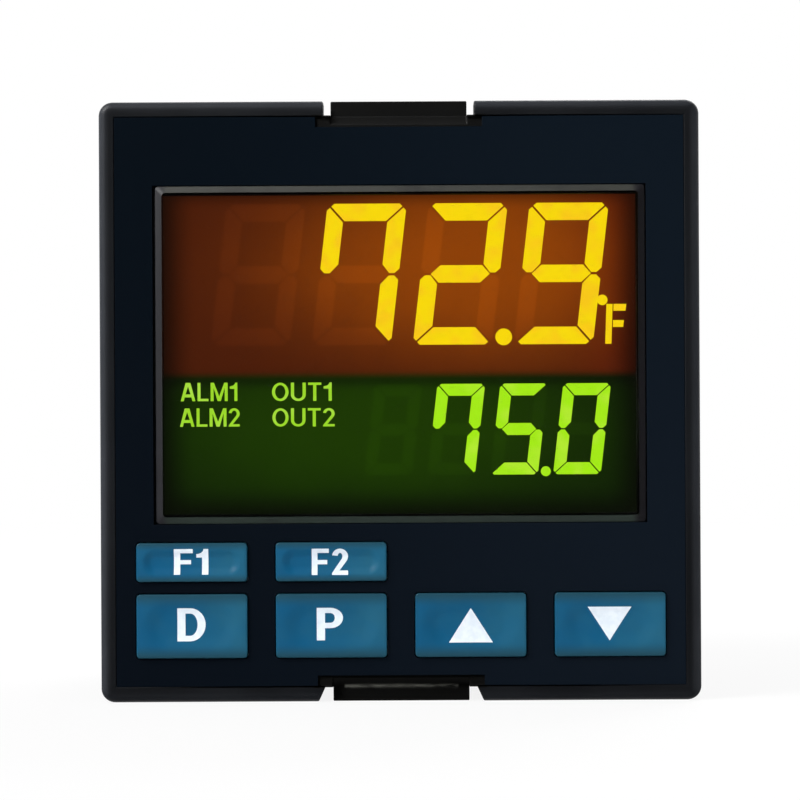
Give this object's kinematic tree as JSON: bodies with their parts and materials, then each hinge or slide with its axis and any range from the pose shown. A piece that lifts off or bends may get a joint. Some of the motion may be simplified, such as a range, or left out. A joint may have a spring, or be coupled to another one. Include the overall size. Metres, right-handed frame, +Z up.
{
  "type": "pid temperature controller",
  "caption": "Square panel-mounted process controller with an amber and green display window, press keys that travel, a box case, snap latches and rear screw terminals.",
  "frame": {"origin": "centre of the panel cut-out, in the plane of the panel's front face, where the bezel's rim bears", "axes": "+Z up, +X to the right as the user sees the front, +Y from the front into the panel"},
  "size_m": [0.096, 0.069, 0.096],
  "materials": {
    "bezel": "fine-textured black moulding",
    "overlay": "dark navy film with a satin face",
    "lens": "clear window, polished",
    "gasket": "black foam",
    "lcd": "dark display cell",
    "white_plastic": "white light box",
    "light_guide": "clear moulding",
    "amber_led": "amber lamp",
    "green_led": "green lamp",
    "zebra": "layered contact rubber",
    "board": "green solder mask",
    "chip": "black resin",
    "mat": "grey silicone rubber",
    "pill": "conducting rubber",
    "key": "blue moulding, satin",
    "socket": "black edge socket",
    "core": "varnished laminations",
    "coil": "winding under yellow tape",
    "capacitor": "sleeved cans",
    "varistor": "blue lacquered disc",
    "fuse": "brown fuse box",
    "relay": "dark blue relay covers",
    "case": "fine-textured black moulding",
    "terminal_plastic": "black moulding",
    "contact_metal": "tin-plated brass",
    "clamp_metal": "zinc plate",
    "screw_metal": "nickel plate"
  },
  "bodies": {
    "controller": {"front_bezel": "bezel", "front_overlay": "overlay", "display_lens": "lens", "lcd_gasket": "gasket", "lcd_panel": "lcd", "display_frame": "white_plastic", "light_guide_upper": "light_guide", "light_guide_lower": "light_guide", "backlight_leds_upper": "amber_led", "backlight_leds_lower": "green_led", "contact_strips": "zebra", "front_board": "board", "processor_chip": "chip", "keypad_mat": "mat", "contact_pills": "pill", "board_sockets": "socket", "power_board": "board", "output_board": "board", "transformer_core": "core", "transformer_coil": "coil", "power_capacitors": "capacitor", "surge_varistor": "varistor", "power_fuse": "fuse", "output_relays": "relay", "case_shell": "case", "terminal_block_left": "terminal_plastic", "terminal_block_right": "terminal_plastic", "terminal_contacts_left": "contact_metal", "terminal_contacts_right": "contact_metal", "wire_clamps": "clamp_metal", "terminal_screws": "screw_metal"},
    "f1_key": {"key_f1": "key"},
    "f2_key": {"key_f2": "key"},
    "display_key": {"key_display": "key"},
    "program_key": {"key_program": "key"},
    "up_key": {"key_up": "key"},
    "down_key": {"key_down": "key"}
  },
  "joints": [
    {"name": "f1_press", "type": "slide", "parent": "controller", "child": "f1_key", "axis": [0, 1, 0], "range_m": [0, 0.0008], "stiffness_N_per_m": 900, "springref_m": -0.0008, "deforming": ["keypad_mat"]},
    {"name": "f2_press", "type": "slide", "parent": "controller", "child": "f2_key", "axis": [0, 1, 0], "range_m": [0, 0.0008], "stiffness_N_per_m": 900, "springref_m": -0.0008, "deforming": ["keypad_mat"]},
    {"name": "display_press", "type": "slide", "parent": "controller", "child": "display_key", "axis": [0, 1, 0], "range_m": [0, 0.0008], "stiffness_N_per_m": 900, "springref_m": -0.0008, "deforming": ["keypad_mat"]},
    {"name": "program_press", "type": "slide", "parent": "controller", "child": "program_key", "axis": [0, 1, 0], "range_m": [0, 0.0008], "stiffness_N_per_m": 900, "springref_m": -0.0008, "deforming": ["keypad_mat"]},
    {"name": "up_press", "type": "slide", "parent": "controller", "child": "up_key", "axis": [0, 1, 0], "range_m": [0, 0.0008], "stiffness_N_per_m": 900, "springref_m": -0.0008, "deforming": ["keypad_mat"]},
    {"name": "down_press", "type": "slide", "parent": "controller", "child": "down_key", "axis": [0, 1, 0], "range_m": [0, 0.0008], "stiffness_N_per_m": 900, "springref_m": -0.0008, "deforming": ["keypad_mat"]}
  ]
}
